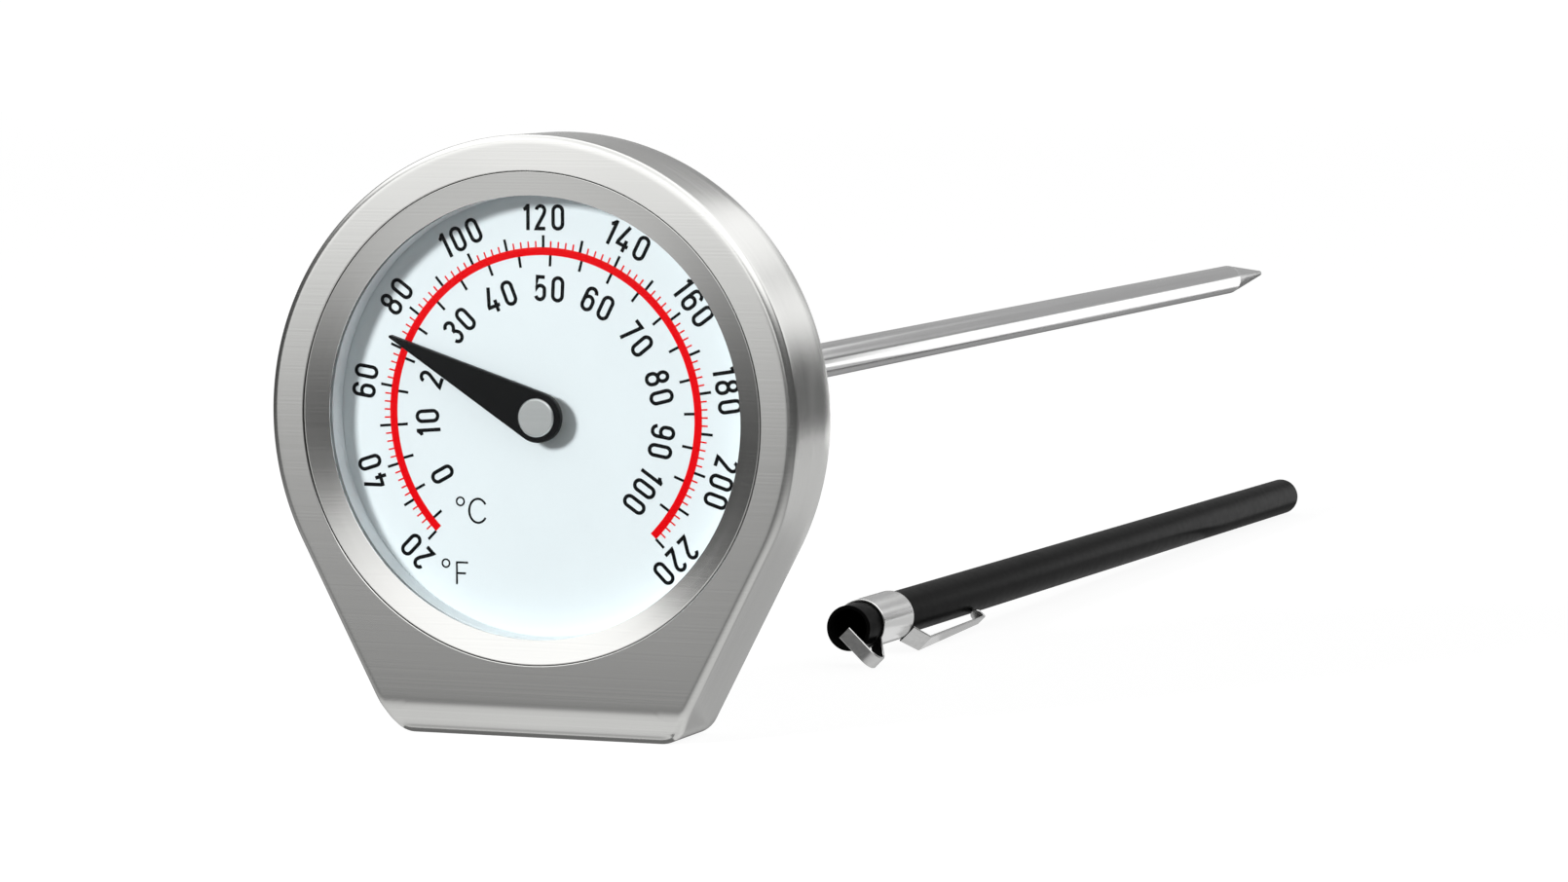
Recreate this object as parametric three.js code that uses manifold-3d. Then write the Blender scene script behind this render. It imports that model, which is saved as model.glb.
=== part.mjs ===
// Dial thermometer with a flat-footed steel case, a long rear stem and a loose clip-on sheath.
// Units are millimetres. +Z is up, +Y runs from the dial back along the stem, +X is the reader's right.
// The origin is the middle of the flat foot, on the surface that the case stands on.
import * as THREE from "three";
import { mergeVertices } from "three/addons/utils/BufferGeometryUtils.js";
import Module from "manifold-3d";

const wasm = await Module();
wasm.setup();

const DEG = Math.PI / 180;

// Case
const DIAL_HEIGHT = 32.3;       // dial centre above the surface
const CASE_RADIUS = 28.4;
const CASE_DEPTH = 10.7;
const CASE_WALL = 1.0;
const SIDE_TAPER = 27.4 * DEG;  // lean of the flanks from vertical
const CORNER_RADIUS = 3.0;      // lower corners of the outline
const EDGE_ROUND = 0.7;
const TOE_HEIGHT = 3.0;         // front bottom edge, bent back under the face
const TOE_DEPTH = 2.0;
const FACE_Y = -CASE_DEPTH / 2;
const REAR_Y = CASE_DEPTH / 2;

// Bezel, lens and dial, from the face backwards
const WINDOW_RADIUS = 24.8;
const BEZEL_INNER = 22.3;
const BEZEL_DROP = 1.0;         // the cone's fall from the face to its inner edge
const BEZEL_BACK = FACE_Y + 1.2;
const LENS_RADIUS = 24.2;
const LENS_THICK = 0.45;
const LENS_BACK = BEZEL_BACK + 0.05 + LENS_THICK;
const GASKET_THICK = 0.35;
const DIAL_Y = FACE_Y + 4.2;    // printed face of the dial
const DIAL_THICK = 0.4;
const CAN_RADIUS = 24.75;
const CAN_WALL = 0.4;
const CAN_REAR = 3.6;
const COVER_Y = 4.0;
const COVER_THICK = 0.8;

// Stem, from the head backwards
const STEM_RADIUS = 2.0;
const STEM_BORE = 1.6;
const STEM_FRONT = 0.9;
const CONE_START = 249.85;
const CONE_LENGTH = 17.5;
const TIP_RADIUS = 0.35;
const BUSH_BORE = 2.12;
const BUSH_OUTER = 3.0;
const BUSH_REAR = 5.4;
const NUT_FLATS = 10;           // across flats
const NUT_Y = 5.95;
const NUT_LENGTH = 6;
const ARBOR_RADIUS = 0.4;
const ARBOR_REAR = 205;
const COIL_TURNS = 14;
const COIL_RADIUS = 1.1;
const COIL_FRONT = 205.6;
const COIL_REAR = 243.6;

// Pointer, which rests at 72.5 degrees F on a scale of 20 to 220 that sweeps three quarters of a turn
const SCALE_LOW = 20;
const SCALE_MID = 120;
const SCALE_SWEEP = 270;
const POINTER_READING = 72.5;
const POINTER_ANGLE = ((POINTER_READING - SCALE_MID) * SCALE_SWEEP) / (2 * (SCALE_MID - SCALE_LOW)) * DEG;
const POINTER_LENGTH = 18.0;
const POINTER_HUB = 2.55;
const POINTER_TIP = 0.16;
const POINTER_FRONT = DIAL_Y - 2.1;
const POINTER_THICK = 0.8;
const CAP_RADIUS = 1.95;
const CAP_THICK = 0.25;

// Sheath, which lies behind the head on the same surface
const MOUTH = new THREE.Vector3(11.12, 57.86, 4.41);
const SHEATH_LENGTH = 179.6;
const SHEATH_YAW = -0.18 * DEG;
const SHEATH_TILT = -0.63 * DEG;
const CLIP_ROLL = 45 * DEG;     // the clip hangs below and to the right
const SHEATH_OUTER = 2.55;
const SHEATH_OUTER_END = 2.42;
const SHEATH_BORE = 2.15;
const SHEATH_FLOOR = 1.2;
const BAND_FRONT = 4.1;
const BAND_REAR = 13.9;
const BAND_THICK = 0.28;
const STRIP_THICK = 0.28;
const HOOK_WIDTH = 1.53;
const CLIP_WIDTH = 2.4;
const CLIP_TIP_WIDTH = 1.3;

const ROUND = 64;               // segments round the case parts
const SMALL = 32;               // segments round the stem and sheath
const CORNER_STEPS = 5;         // steps round each lower corner of the case

const FINISH = {
  brushed: { color: 0xb4b4b2, roughness: 0.36, metalness: 1 },
  bezel: { color: 0xb9b9b7, roughness: 0.3, metalness: 1 },
  polished: { color: 0xcfcfce, roughness: 0.16, metalness: 1 },
  inner: { color: 0xaaacae, roughness: 0.45, metalness: 1 },
  brass: { color: 0xc2a05a, roughness: 0.35, metalness: 1 },
  bimetal: { color: 0xa88f6a, roughness: 0.4, metalness: 1 },
  white: { color: 0xedf5f7, roughness: 0.5, metalness: 0 },
  spacer: { color: 0xdce6ec, roughness: 0.5, metalness: 0 },
  lens: { color: 0xf5fafa, roughness: 0.03, metalness: 0, transparent: true, opacity: 0.25 },
  gasket: { color: 0xe4e8ea, roughness: 0.6, metalness: 0 },
  pointer: { color: 0x1b1b1c, roughness: 0.4, metalness: 0 },
  cap: { color: 0x9a9c9e, roughness: 0.35, metalness: 1 },
  sheath: { color: 0x161616, roughness: 0.38, metalness: 0 },
  spring: { color: 0xb0b0af, roughness: 0.28, metalness: 1 },
};

// Leaves position only, merges shared vertices, drops collapsed triangles and turns the faces outward.
function closed(geometry) {
  const bare = geometry.clone();
  bare.deleteAttribute("normal");
  bare.deleteAttribute("uv");
  const merged = mergeVertices(bare, 1e-4);
  const at = merged.getAttribute("position");
  const index = merged.getIndex().array;
  const corners = [0, 1, 2].map(() => new THREE.Vector3());
  const kept = [];
  let volume = 0;
  for (let i = 0; i < index.length; i += 3) {
    const [a, b, c] = [index[i], index[i + 1], index[i + 2]];
    if (a === b || b === c || c === a) continue;
    kept.push(a, b, c);
    [a, b, c].forEach((vertex, k) => corners[k].fromBufferAttribute(at, vertex));
    volume += corners[0].dot(corners[1].clone().cross(corners[2]));
  }
  merged.setIndex(volume < 0 ? kept.reverse() : kept);
  merged.computeVertexNormals();
  return merged;
}

function toSolid(geometry) {
  const shell = closed(geometry);
  const vertProperties = Float32Array.from(shell.getAttribute("position").array);
  const triVerts = Uint32Array.from(shell.getIndex().array);
  return new wasm.Manifold(new wasm.Mesh({ numProp: 3, vertProperties, triVerts }));
}

function toGeometry(solid) {
  const mesh = solid.getMesh();
  const geometry = new THREE.BufferGeometry();
  geometry.setAttribute("position", new THREE.BufferAttribute(Float32Array.from(mesh.vertProperties), 3));
  geometry.setIndex(Array.from(mesh.triVerts));
  return closed(geometry);
}

// A solid turned about the Y axis. The profile is a list of [radius, y] corners; one that
// doesn't start and end on the axis is closed on itself.
function turned(profile, segments = ROUND) {
  const corners = profile.map(([radius, y]) => new THREE.Vector2(radius, y));
  const solidCore = profile[0][0] === 0 && profile[profile.length - 1][0] === 0;
  if (!solidCore) corners.push(corners[0].clone());
  return closed(new THREE.LatheGeometry(corners, segments));
}

function ring(inner, outer, front, rear, segments = ROUND) {
  return turned([[inner, front], [outer, front], [outer, rear], [inner, rear]], segments);
}

// Turns a solid extruded along +Z, from z = 0, into one that runs along +Y and ends at rear.
function facing(geometry, rear) {
  return geometry.rotateX(Math.PI / 2).translate(0, rear, 0);
}

function arc(x, z, radius, from, to, steps) {
  return Array.from({ length: steps + 1 }, (_, i) => {
    const angle = from + ((to - from) * i) / steps;
    return new THREE.Vector2(x + radius * Math.cos(angle), z + radius * Math.sin(angle));
  });
}

// Case outline, inset by a distance: a round head on a flat foot, joined by two straight flanks.
function caseOutline(inset) {
  const radius = CASE_RADIUS - inset;
  const corner = Math.max(CORNER_RADIUS - inset, 0.5);
  const cornerZ = inset + corner;
  const reach = radius - corner + (cornerZ - DIAL_HEIGHT) * Math.sin(SIDE_TAPER);
  const cornerX = reach / Math.cos(SIDE_TAPER);
  return new THREE.Shape([
    ...arc(cornerX, cornerZ, corner, -Math.PI / 2, -SIDE_TAPER, CORNER_STEPS),
    ...arc(0, DIAL_HEIGHT, radius, -SIDE_TAPER, Math.PI + SIDE_TAPER, ROUND),
    ...arc(-cornerX, cornerZ, corner, Math.PI + SIDE_TAPER, 1.5 * Math.PI, CORNER_STEPS),
  ]);
}

function casePrism(inset, front, rear) {
  const prism = new THREE.ExtrudeGeometry(caseOutline(inset), { depth: rear - front, bevelEnabled: false });
  return facing(prism, rear);
}

function atDial(geometry) {
  return geometry.translate(0, 0, DIAL_HEIGHT);
}

function caseShell() {
  const block = new THREE.ExtrudeGeometry(caseOutline(0), {
    depth: CASE_DEPTH - 2 * EDGE_ROUND, bevelEnabled: true, bevelSize: EDGE_ROUND,
    bevelThickness: EDGE_ROUND, bevelOffset: -EDGE_ROUND, bevelSegments: 2,
  });
  const toe = new THREE.Shape();
  toe.moveTo(FACE_Y - 1, TOE_HEIGHT);
  toe.lineTo(FACE_Y, TOE_HEIGHT);
  toe.lineTo(FACE_Y + TOE_DEPTH - 0.6, 0.6);
  toe.lineTo(FACE_Y + TOE_DEPTH, 0);
  toe.lineTo(FACE_Y + TOE_DEPTH, -1);
  toe.lineTo(FACE_Y - 1, -1);
  const width = 2 * CASE_RADIUS;
  const toeBlock = new THREE.ExtrudeGeometry(toe, { depth: width, bevelEnabled: false });
  toeBlock.applyMatrix4(new THREE.Matrix4().makeBasis(
    new THREE.Vector3(0, 1, 0), new THREE.Vector3(0, 0, 1), new THREE.Vector3(1, 0, 0)));
  toeBlock.translate(-width / 2, 0, 0);
  const window = atDial(turned([[0, FACE_Y - 1], [WINDOW_RADIUS, FACE_Y - 1], [WINDOW_RADIUS, 0], [0, 0]]));
  const hollow = casePrism(CASE_WALL, FACE_Y + CASE_WALL, REAR_Y + 1);
  return toGeometry(toSolid(facing(block, REAR_Y - EDGE_ROUND))
    .subtract(toSolid(toeBlock))
    .subtract(toSolid(hollow))
    .subtract(toSolid(window)));
}

function backCover() {
  const plate = casePrism(CASE_WALL + 0.1, COVER_Y, COVER_Y + COVER_THICK);
  const hole = atDial(ring(0, BUSH_OUTER + 0.05, COVER_Y - 1, COVER_Y + 2, SMALL));
  return toGeometry(toSolid(plate).subtract(toSolid(hole)));
}

function bezelRing() {
  const outer = WINDOW_RADIUS - 0.05;
  const drop = FACE_Y + BEZEL_DROP;
  return turned([[outer, FACE_Y + 0.05], [outer, BEZEL_BACK], [BEZEL_INNER, BEZEL_BACK], [BEZEL_INNER, drop]]);
}

function innerCan() {
  const front = BEZEL_BACK + 0.05;
  const hole = BUSH_OUTER + 0.05;
  const inside = CAN_RADIUS - CAN_WALL;
  return turned([[CAN_RADIUS, front], [CAN_RADIUS, CAN_REAR], [hole, CAN_REAR],
    [hole, CAN_REAR - CAN_WALL], [inside, CAN_REAR - CAN_WALL], [inside, front]]);
}

function lens() {
  const front = BEZEL_BACK + 0.05;
  return turned([[0, front], [LENS_RADIUS, front], [LENS_RADIUS, LENS_BACK], [0, LENS_BACK]]);
}

// White wall between the lens and the dial, with a lip that centres the gasket.
function dialSpacer() {
  const lip = BEZEL_INNER + 0.6;
  const front = LENS_BACK + 0.05;
  const shoulder = front + GASKET_THICK + 0.1;
  const rear = DIAL_Y - 0.05;
  return turned([[BEZEL_INNER, front], [lip, front], [lip, shoulder],
    [LENS_RADIUS, shoulder], [LENS_RADIUS, rear], [BEZEL_INNER, rear]]);
}

function stemBushing() {
  const flangeFront = CAN_REAR - CAN_WALL - 0.9;
  const flangeRear = CAN_REAR - CAN_WALL - 0.05;
  return turned([[BUSH_BORE, flangeFront], [4.6, flangeFront], [4.6, flangeRear],
    [BUSH_OUTER, flangeRear], [BUSH_OUTER, BUSH_REAR], [BUSH_BORE, BUSH_REAR]], SMALL);
}

// Hexagon nut with chamfered corners, fixed on the stem.
function calibrationNut() {
  const corner = NUT_FLATS / 2 / Math.cos(Math.PI / 6);
  const rear = NUT_Y + NUT_LENGTH;
  const hexagon = turned([[0, NUT_Y], [corner, NUT_Y], [corner, rear], [0, rear]], 6);
  const chamfer = 0.9;
  const cone = turned([[0, NUT_Y], [corner - chamfer, NUT_Y], [corner, NUT_Y + chamfer / 2],
    [corner, rear - chamfer / 2], [corner - chamfer, rear], [0, rear]], SMALL);
  const hole = ring(0, STEM_RADIUS + 0.02, NUT_Y - 1, rear + 1, SMALL);
  return toGeometry(toSolid(hexagon).intersect(toSolid(cone)).subtract(toSolid(hole)));
}

function stemTip() {
  const plug = STEM_BORE - 0.02;
  const end = CONE_START + CONE_LENGTH;
  return turned([[0, CONE_START - 4], [plug, CONE_START - 4], [plug, CONE_START + 0.02],
    [STEM_RADIUS, CONE_START + 0.02], [TIP_RADIUS, end], [0, end]], SMALL);
}

class Helix extends THREE.Curve {
  getPoint(t, target = new THREE.Vector3()) {
    const turn = 2 * Math.PI * COIL_TURNS * t;
    const y = COIL_FRONT + (COIL_REAR - COIL_FRONT) * t;
    return target.set(COIL_RADIUS * Math.sin(turn), y, COIL_RADIUS * Math.cos(turn));
  }
}

function bimetalCoil() {
  const section = new THREE.Shape();
  const half = 0.22;
  section.moveTo(-half, -half);
  section.lineTo(half, -half);
  section.lineTo(half, half);
  section.lineTo(-half, half);
  return closed(new THREE.ExtrudeGeometry(section, {
    steps: COIL_TURNS * 12, bevelEnabled: false, extrudePath: new Helix(),
  }));
}

// Pointer blade, drawn pointing up: a round hub whose tangents run out to a narrow rounded tip.
function pointerBlade() {
  const lean = Math.asin((POINTER_HUB - POINTER_TIP) / (POINTER_LENGTH - POINTER_TIP));
  const tipZ = POINTER_LENGTH - POINTER_TIP;
  const blade = new THREE.Shape();
  blade.absarc(0, 0, POINTER_HUB, Math.PI - lean, 2 * Math.PI + lean, false);
  blade.absarc(0, tipZ, POINTER_TIP, lean, Math.PI - lean, false);
  const hole = new THREE.Path();
  hole.absarc(0, 0, ARBOR_RADIUS + 0.05, 0, 2 * Math.PI, true);
  blade.holes.push(hole);
  const plate = new THREE.ExtrudeGeometry(blade, {
    depth: POINTER_THICK, bevelEnabled: false, curveSegments: 16,
  });
  return closed(facing(plate, POINTER_FRONT + POINTER_THICK));
}

function hubCap() {
  const rear = POINTER_FRONT - 0.05;
  const front = rear - CAP_THICK;
  return turned([[0, front], [CAP_RADIUS - 0.15, front], [CAP_RADIUS, front + 0.12],
    [CAP_RADIUS, rear], [0, rear]], SMALL);
}

function sheathTube() {
  const end = SHEATH_LENGTH;
  const round = 0.35;
  return turned([[SHEATH_BORE, 0], [SHEATH_OUTER - 0.1, 0], [SHEATH_OUTER, 0.1],
    [SHEATH_OUTER_END, end - round], [SHEATH_OUTER_END - round, end], [0, end],
    [0, end - SHEATH_FLOOR], [SHEATH_BORE - 0.1, end - SHEATH_FLOOR], [SHEATH_BORE, end - SHEATH_FLOOR - 0.1]],
  SMALL);
}

// A bent strip of constant thickness: its centre line lies in the plane of the sheath's axis (Y)
// and the clip's direction (X), and its width across that plane narrows from one end to the other.
function bentStrip(line, startWidth, endWidth) {
  const side = [[], []];
  line.forEach((point, i) => {
    const before = line[Math.max(i - 1, 0)];
    const after = line[Math.min(i + 1, line.length - 1)];
    const into = point.clone().sub(before).normalize();
    const out = after.clone().sub(point).normalize();
    const along = into.clone().add(out).normalize();
    const stretch = 1 / Math.max(along.dot(i ? into : out), 0.4);
    const normal = new THREE.Vector2(-along.y, along.x).multiplyScalar((STRIP_THICK / 2) * stretch);
    side[0].push(point.clone().add(normal));
    side[1].unshift(point.clone().sub(normal));
  });
  const strip = new THREE.ExtrudeGeometry(new THREE.Shape([...side[0], ...side[1]]), {
    depth: 1, bevelEnabled: false,
  }).translate(0, 0, -0.5);
  const start = line[0].y;
  const run = line[line.length - 1].y - start;
  const at = strip.getAttribute("position");
  for (let i = 0; i < at.count; i += 1) {
    const share = THREE.MathUtils.clamp((at.getY(i) - start) / run, 0, 1);
    at.setZ(i, at.getZ(i) * THREE.MathUtils.lerp(startWidth, endWidth, share));
  }
  return closed(strip);
}

// Where a tangent from a point touches a circle; side is 1 or -1.
function tangentAngle(point, centre, radius, side) {
  const away = point.clone().sub(centre);
  return away.angle() + side * Math.acos(radius / away.length());
}

// Retaining spring: out from the band's front edge, round a bend below the mouth, and back across it.
function retainingSpring() {
  const root = new THREE.Vector2(SHEATH_OUTER + 0.17, BAND_FRONT - 0.15);
  const end = new THREE.Vector2(0.67, -1.15);
  const bend = new THREE.Vector2(4.42, 0.5);
  const bendRadius = 0.85;
  const from = tangentAngle(root, bend, bendRadius, -1);
  const to = tangentAngle(end, bend, bendRadius, 1) - 2 * Math.PI;
  const steps = 8;
  const line = [root];
  for (let i = 0; i <= steps; i += 1) {
    const angle = from + ((to - from) * i) / steps;
    line.push(new THREE.Vector2(Math.cos(angle), Math.sin(angle)).multiplyScalar(bendRadius).add(bend));
  }
  line.push(end);
  return bentStrip(line, HOOK_WIDTH, HOOK_WIDTH);
}

// Pocket clip: out from the band's rear edge, along the sheath, and back in to touch it.
function pocketClip() {
  const line = [[2.72, BAND_REAR + 0.15], [4.6, 16.5], [3.95, 36.9], [3.3, 38.6], [2.72, 38.4]]
    .map(([x, y]) => new THREE.Vector2(x, y));
  return bentStrip(line, CLIP_WIDTH, CLIP_TIP_WIDTH);
}

function piece(name, geometry, finish) {
  const mesh = new THREE.Mesh(geometry, new THREE.MeshStandardMaterial(FINISH[finish]));
  mesh.name = name;
  return mesh;
}

// The case and what is fixed in it, built where they stand.
const head = new THREE.Group();
head.add(piece("case_shell", caseShell(), "brushed"), piece("back_cover", backCover(), "brushed"));

// Round parts of the head, on the dial's axis.
const dialAxis = new THREE.Group();
dialAxis.position.z = DIAL_HEIGHT;
const gasketFront = LENS_BACK + 0.05;
const dialRear = DIAL_Y + DIAL_THICK;
dialAxis.add(
  piece("bezel_ring", bezelRing(), "bezel"),
  piece("inner_can", innerCan(), "inner"),
  piece("lens", lens(), "lens"),
  piece("lens_gasket", ring(BEZEL_INNER + 0.7, LENS_RADIUS, gasketFront, gasketFront + GASKET_THICK), "gasket"),
  piece("dial_spacer", dialSpacer(), "spacer"),
  piece("dial_plate", ring(1.5, LENS_RADIUS, DIAL_Y, dialRear), "white"),
  piece("dial_support_ring", ring(BEZEL_INNER, LENS_RADIUS, dialRear + 0.05, CAN_REAR - CAN_WALL - 0.05), "inner"),
  piece("stem_bushing", stemBushing(), "brass"),
  piece("friction_washer", ring(BUSH_OUTER + 0.1, 5.4, COVER_Y + COVER_THICK + 0.05, BUSH_REAR, SMALL), "inner"),
);

// Stem: it turns in the head as one with its nut, its bushes and the coil.
const stem = new THREE.Group();
stem.position.z = DIAL_HEIGHT;
const bushOuter = STEM_BORE - 0.05;
const bushInner = ARBOR_RADIUS + 0.05;
stem.add(
  piece("calibration_nut", calibrationNut(), "brushed"),
  piece("lock_ring", ring(STEM_RADIUS + 0.02, 3.4, 1.7, 2.2, SMALL), "inner"),
  piece("stem_tube", ring(STEM_BORE, STEM_RADIUS, STEM_FRONT, CONE_START, SMALL), "polished"),
  piece("stem_tip", stemTip(), "polished"),
  piece("upper_guide_bush", ring(bushInner, bushOuter, 6, 12, SMALL), "brass"),
  piece("lower_guide_bush", ring(bushInner, bushOuter, 196, 200, SMALL), "brass"),
  piece("bimetal_coil", bimetalCoil(), "bimetal"),
  piece("coil_anchor", ring(0, bushOuter, 244.2, 245.6, SMALL), "brass"),
);

// Pointer and the arbor that carries it down the stem to the coil.
const pointer = new THREE.Group();
pointer.position.z = DIAL_HEIGHT;
pointer.rotation.y = POINTER_ANGLE;
const pointerRear = POINTER_FRONT + POINTER_THICK;
pointer.add(
  piece("pointer", pointerBlade(), "pointer"),
  piece("pointer_hub_cap", hubCap(), "cap"),
  piece("pointer_collet", ring(bushInner, 1.3, pointerRear + 0.05, pointerRear + 0.8, SMALL), "brass"),
  piece("pointer_arbor", ring(0, ARBOR_RADIUS, POINTER_FRONT, ARBOR_REAR, 16), "polished"),
);

// Sheath with its band, retaining spring and pocket clip, in its own frame: Y along the bore, X to the clip.
const sheath = new THREE.Group();
sheath.position.copy(MOUTH);
sheath.rotation.set(SHEATH_TILT, CLIP_ROLL, SHEATH_YAW, "ZXY");
const bandInner = SHEATH_OUTER + 0.02;
sheath.add(
  piece("sheath_tube", sheathTube(), "sheath"),
  piece("sheath_band", ring(bandInner, bandInner + BAND_THICK, BAND_FRONT, BAND_REAR, SMALL), "spring"),
  piece("retaining_spring", retainingSpring(), "spring"),
  piece("pocket_clip", pocketClip(), "spring"),
);

const thermometer = new THREE.Group();
thermometer.add(head, dialAxis, stem, pointer, sheath);
export default thermometer;
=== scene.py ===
import math

import bmesh
import bpy
from mathutils import Matrix, Vector


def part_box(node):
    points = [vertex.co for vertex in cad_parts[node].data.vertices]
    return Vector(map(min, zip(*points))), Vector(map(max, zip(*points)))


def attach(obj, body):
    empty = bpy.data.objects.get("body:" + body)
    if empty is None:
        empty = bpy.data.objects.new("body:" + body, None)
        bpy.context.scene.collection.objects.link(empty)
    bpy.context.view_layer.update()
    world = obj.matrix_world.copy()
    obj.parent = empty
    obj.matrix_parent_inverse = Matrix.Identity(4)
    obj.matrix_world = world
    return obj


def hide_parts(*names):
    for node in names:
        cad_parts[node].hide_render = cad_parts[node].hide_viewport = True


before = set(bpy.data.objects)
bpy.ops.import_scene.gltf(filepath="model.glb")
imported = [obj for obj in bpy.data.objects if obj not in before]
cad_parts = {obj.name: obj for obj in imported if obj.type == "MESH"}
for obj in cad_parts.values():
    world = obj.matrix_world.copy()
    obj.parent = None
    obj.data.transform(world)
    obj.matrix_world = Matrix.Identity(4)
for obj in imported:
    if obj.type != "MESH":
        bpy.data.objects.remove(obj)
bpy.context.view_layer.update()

MM = 0.001
# Points closer than this, in metres, become one point.
WELD = 0.0002 * MM
# How far from the ends of a long run its extra points are.
HOLD = 0.06
# The most of a side that the arc at one of its corners may take.
ARC_SHARE = 0.49
# Vertices this close to the end of a long node belong to its end.
END_NEAR = 0.06


def span(node):
    """Lowest and highest corner of a CAD node, in millimetres."""
    lo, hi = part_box(node)
    return lo / MM, hi / MM


# Places read from the CAD frame.
case_lo, case_hi = span("case_shell")
lens_lo, lens_hi = span("lens")
bezel_hi = span("bezel_ring")[1]
plate_lo, plate_hi = span("dial_plate")
spacer_lo, spacer_hi = span("dial_spacer")
cover_lo, cover_hi = span("back_cover")
bushing_lo, bushing_hi = span("stem_bushing")
washer_lo, washer_hi = span("friction_washer")
nut_lo, nut_hi = span("calibration_nut")
tube_lo, tube_hi = span("stem_tube")
tip_lo, tip_hi = span("stem_tip")
pointer_lo, pointer_hi = span("pointer")
cap_lo, cap_hi = span("pointer_hub_cap")

DIAL_Z = (lens_lo.z + lens_hi.z) / 2
FACE_Y = case_lo.y
REAR_Y = case_hi.y
DIAL_Y = plate_lo.y
CASE_RADIUS = case_hi.z - DIAL_Z
LENS_RADIUS = lens_hi.z - DIAL_Z
STEM_RADIUS = tube_hi.z - DIAL_Z
WASHER_RADIUS = washer_hi.z - DIAL_Z
CAP_RADIUS = cap_hi.z - DIAL_Z

# Case
SIDE_TAPER = math.radians(27.4)
CORNER_RADIUS = 3.0
CASE_WALL = 1.0
EDGE_ROUND = 0.8
REAR_ROUND = 0.6
TOE_START = 3.0
TOE_SLOPE = math.tan(math.radians(30))
TOE_SOFT = 0.22
TOE_MOST = 1.2
TOE_FADE_END = 1.0
WINDOW_RADIUS = 24.8
WINDOW_ROUND = 0.07
REAR_CHAMFER = 0.1
BEZEL_INNER = 22.3
BEZEL_DROP = 1.0
BEZEL_GAP = 0.07
SPACER_LIP = 0.6
SPACER_LIP_DEPTH = 0.45
PLATE_HOLE = 1.5

# Back cover and bushing
COVER_GAP = 0.1
COVER_RIM = 0.35
COVER_HOLE_GAP = 0.05
COVER_HOLE_ROUND = 0.1
BUSHING_BORE = 2.12
BUSHING_FLANGE = 4.6
BUSHING_FLANGE_THICK = 0.85
BUSHING_NECK = 3.0

# Dial printing, as angles from the top and radii in millimetres
SCALE_LOW = 20
SCALE_HIGH = 220
SCALE_MIDDLE = (SCALE_LOW + SCALE_HIGH) / 2
SCALE_HALF_SWEEP = 135.0
DEGREES_PER_F = 1.35
ARC_RADIUS = 16.6
ARC_WIDTH = 0.8
F_NUMBER_RADIUS = 20.0
C_NUMBER_RADIUS = 12.85
F_TICKS = (16.98, 18.2)
C_TICKS = (15.1, 16.22)
TICK_WIDTH = 0.27
RED_TICK_END = 17.62
RED_TICK_WIDTH = 0.16
RED_TICK_OVERLAP = 0.02
DIGIT_HEIGHT = 2.64
DIGIT_STROKE = 0.37
DIGIT_GAP = 0.55
LETTER_C_STROKE = 0.22
LETTER_F_STROKE = 0.2
DEGREE_SIGN_STROKE = 0.17
INK_THICK = 0.02
INK_SUNK = 0.01
INK_LAYER = 0.0015

# Pointer
POINTER_READING = 72.5
POINTER_ANGLE = math.radians((POINTER_READING - SCALE_MIDDLE) * DEGREES_PER_F)
POINTER_LENGTH = 18.0
POINTER_HUB = 2.55
POINTER_HOLE = 0.45
POINTER_TIP = 0.16
POINTER_TIP_LEAST = 0.03
POINTER_TIP_PULL = 1.5

# Stem
STEM_BORE = 1.6
CONE_LENGTH = 17.5
TIP_RADIUS = 0.35
TIP_PLUG_GAP = 0.02
NUT_CHAMFER = 0.9
NUT_BORE_GAP = 0.02
NUT_BORE_CHAMFER = 0.25

# Sheath, in its own frame: Y along the bore from the mouth, X towards the clip
CLIP_ROLL = math.radians(45)
SHEATH_OUTER = 2.55
SHEATH_OUTER_END = 2.42
SHEATH_BORE = 2.15
SHEATH_FLOOR = 1.2
BAND_FRONT = 4.1
BAND_REAR = 13.9
BAND_INNER = 2.57
BAND_THICK = 0.28
STRIP_THICK = 0.28
STRIP_EDGE = 0.07
HOOK_WIDTH = 1.66
HOOK_ROOT = (SHEATH_OUTER + 0.24, BAND_FRONT - 0.25)
HOOK_BEND = (3.7, -0.25)
HOOK_BEND_RADIUS = 1.4
HOOK_END = (0.35, -1.85)
CLIP_WIDTH = 2.4
TAB_WIDTH = 1.36
HOOK_STEP = 0.5
CLIP_STEP = 0.12
CLIP_CORNERS = [(2.8, BAND_REAR + 0.06, 0), (4.6, 16.3, 0.3), (3.95, 37.9, 0.2), (2.56, 37.35, 0)]

# Number of steps that curves and outlines are drawn in
FOOT_STEPS = 28
CORNER_STEPS = 18
FLANK_STEPS = 40
HEAD_STEPS = 110
EDGE_STEPS = 8
REAR_STEPS = 6
LATHE_STEPS = 192
BEZEL_STEPS = 256
CAP_STEPS = 128
SHEATH_STEPS = 128
STEM_STEPS = 96
HUB_STEPS = 64
TIP_STEPS = 16
CONE_STEPS = 6
HOOK_STEPS = 24
RING_STEPS = 28
LETTER_STEPS = 40
ARC_STEPS = 240


# ---------------------------------------------------------------- mesh helpers

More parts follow.
